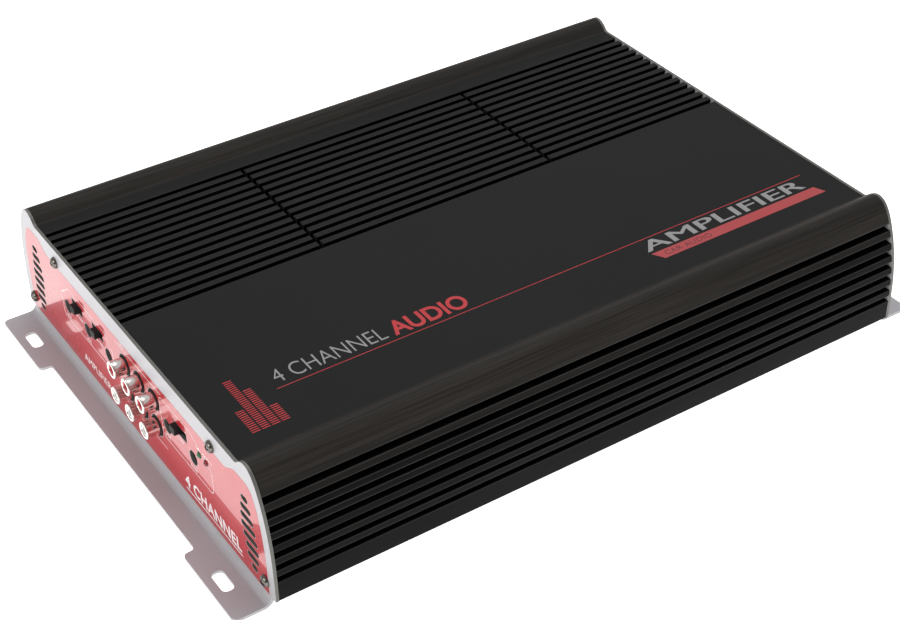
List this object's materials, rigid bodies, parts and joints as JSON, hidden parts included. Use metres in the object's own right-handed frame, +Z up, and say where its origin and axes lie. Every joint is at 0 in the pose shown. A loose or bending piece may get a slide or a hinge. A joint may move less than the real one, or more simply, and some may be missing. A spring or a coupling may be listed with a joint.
{
  "type": "car amplifier",
  "caption": "Finned black car amplifier with slotted mounting ears, an input panel with phono sockets, trimmers and slide switches, and an output panel with terminals and fuses.",
  "frame": {"origin": "middle of the footprint, on the plane of the mounting ears' undersides", "axes": "+X along the heatsink towards the output panel, +Y across it towards the finned half of the top, +Z up"},
  "size_m": [0.3676, 0.248, 0.0662],
  "materials": {
    "anodised": "black anodised, finely drawn along the extrusion, satin",
    "bare_steel": "zinc-plated sheet, satin",
    "powder_coat": "silver-white powder coat, semi-gloss, with a glossy red printed panel",
    "dark_nickel": "black nickel plated screws, gloss",
    "board": "green solder mask, satin",
    "black_plastic": "moulded black plastic, satin",
    "nickel": "bright nickel plate",
    "red_plastic": "moulded red plastic",
    "white_plastic": "moulded white plastic",
    "green_lens": "tinted clear lens",
    "red_lens": "tinted clear lens",
    "fuse_plastic": "tinted clear plastic with zinc blades",
    "ferrite": "matt ferrite",
    "copper": "enamelled copper wire",
    "capacitor_sleeve": "shrink sleeve"
  },
  "bodies": {
    "amplifier": {"heatsink": "anodised", "bottom_cover": "bare_steel", "clamp_bar_front": "bare_steel", "clamp_bar_rear": "bare_steel", "switch_housing_one": "bare_steel", "switch_housing_two": "bare_steel", "switch_housing_three": "bare_steel", "input_end_plate": "powder_coat", "output_end_plate": "powder_coat", "input_plate_screw_one": "dark_nickel", "input_plate_screw_two": "dark_nickel", "input_plate_screw_three": "dark_nickel", "input_plate_screw_four": "dark_nickel", "output_plate_screw_one": "dark_nickel", "output_plate_screw_two": "dark_nickel", "output_plate_screw_three": "dark_nickel", "output_plate_screw_four": "dark_nickel", "main_board": "board", "panel_board": "board", "phono_block": "black_plastic", "power_terminal_block": "black_plastic", "speaker_terminal_block": "black_plastic", "fuse_holder": "black_plastic", "trimmer_body_one": "black_plastic", "trimmer_body_two": "black_plastic", "trimmer_body_three": "black_plastic", "trimmer_body_four": "black_plastic", "trimmer_body_five": "black_plastic", "phono_sleeve_upper_one": "nickel", "phono_sleeve_upper_two": "nickel", "phono_sleeve_upper_three": "nickel", "phono_sleeve_lower_one": "nickel", "phono_sleeve_lower_two": "nickel", "phono_sleeve_lower_three": "nickel", "phono_insulator_upper_one": "red_plastic", "phono_insulator_upper_two": "red_plastic", "phono_insulator_upper_three": "red_plastic", "phono_insulator_lower_one": "white_plastic", "phono_insulator_lower_two": "white_plastic", "phono_insulator_lower_three": "white_plastic", "power_lamp": "green_lens", "protect_lamp": "red_lens", "transformer_core": "ferrite", "output_inductor": "ferrite", "transformer_winding": "copper", "storage_capacitor_one": "capacitor_sleeve", "storage_capacitor_two": "capacitor_sleeve"},
    "trimmer_rotor_one": {"trimmer_rotor_one": "black_plastic"},
    "trimmer_rotor_two": {"trimmer_rotor_two": "black_plastic"},
    "trimmer_rotor_three": {"trimmer_rotor_three": "black_plastic"},
    "trimmer_rotor_four": {"trimmer_rotor_four": "black_plastic"},
    "trimmer_rotor_five": {"trimmer_rotor_five": "black_plastic"},
    "switch_slider_one": {"switch_slider_one": "black_plastic"},
    "switch_slider_two": {"switch_slider_two": "black_plastic"},
    "switch_slider_three": {"switch_slider_three": "black_plastic"},
    "fuse_one": {"fuse_one": "fuse_plastic"},
    "fuse_two": {"fuse_two": "fuse_plastic"},
    "power_terminal_screw_one": {"power_terminal_screw_one": "nickel"},
    "power_terminal_screw_two": {"power_terminal_screw_two": "nickel"},
    "power_terminal_screw_three": {"power_terminal_screw_three": "nickel"}
  },
  "joints": [
    {"name": "trimmer_one_turn", "type": "hinge", "parent": "amplifier", "child": "trimmer_rotor_one", "pos_m": [-0.165, 0.0697, 0.0339], "axis": [1, 0, 0], "range_deg": [-135, 135]},
    {"name": "trimmer_two_turn", "type": "hinge", "parent": "amplifier", "child": "trimmer_rotor_two", "pos_m": [-0.165, 0.0475, 0.0339], "axis": [1, 0, 0], "range_deg": [-135, 135]},
    {"name": "trimmer_three_turn", "type": "hinge", "parent": "amplifier", "child": "trimmer_rotor_three", "pos_m": [-0.165, 0.0252, 0.0339], "axis": [1, 0, 0], "range_deg": [-135, 135]},
    {"name": "trimmer_four_turn", "type": "hinge", "parent": "amplifier", "child": "trimmer_rotor_four", "pos_m": [-0.165, -0.0337, 0.0339], "axis": [1, 0, 0], "range_deg": [-135, 135]},
    {"name": "trimmer_five_turn", "type": "hinge", "parent": "amplifier", "child": "trimmer_rotor_five", "pos_m": [-0.165, -0.058, 0.0339], "axis": [1, 0, 0], "range_deg": [-135, 135]},
    {"name": "switch_one_slide", "type": "slide", "parent": "amplifier", "child": "switch_slider_one", "axis": [0, 1, 0], "range_m": [-0.0032, 0.0032]},
    {"name": "switch_two_slide", "type": "slide", "parent": "amplifier", "child": "switch_slider_two", "axis": [0, 1, 0], "range_m": [-0.0032, 0.0032]},
    {"name": "switch_three_slide", "type": "slide", "parent": "amplifier", "child": "switch_slider_three", "axis": [0, 1, 0], "range_m": [-0.0064, 0]},
    {"name": "fuse_one_pull", "type": "slide", "parent": "amplifier", "child": "fuse_one", "axis": [1, 0, 0], "range_m": [0, 0.016]},
    {"name": "fuse_two_pull", "type": "slide", "parent": "amplifier", "child": "fuse_two", "axis": [1, 0, 0], "range_m": [0, 0.016]},
    {"name": "power_terminal_one_clamp", "type": "slide", "parent": "amplifier", "child": "power_terminal_screw_one", "axis": [0, 0, 1], "range_m": [-0.005, 0]},
    {"name": "power_terminal_two_clamp", "type": "slide", "parent": "amplifier", "child": "power_terminal_screw_two", "axis": [0, 0, 1], "range_m": [-0.005, 0]},
    {"name": "power_terminal_three_clamp", "type": "slide", "parent": "amplifier", "child": "power_terminal_screw_three", "axis": [0, 0, 1], "range_m": [-0.005, 0]}
  ]
}
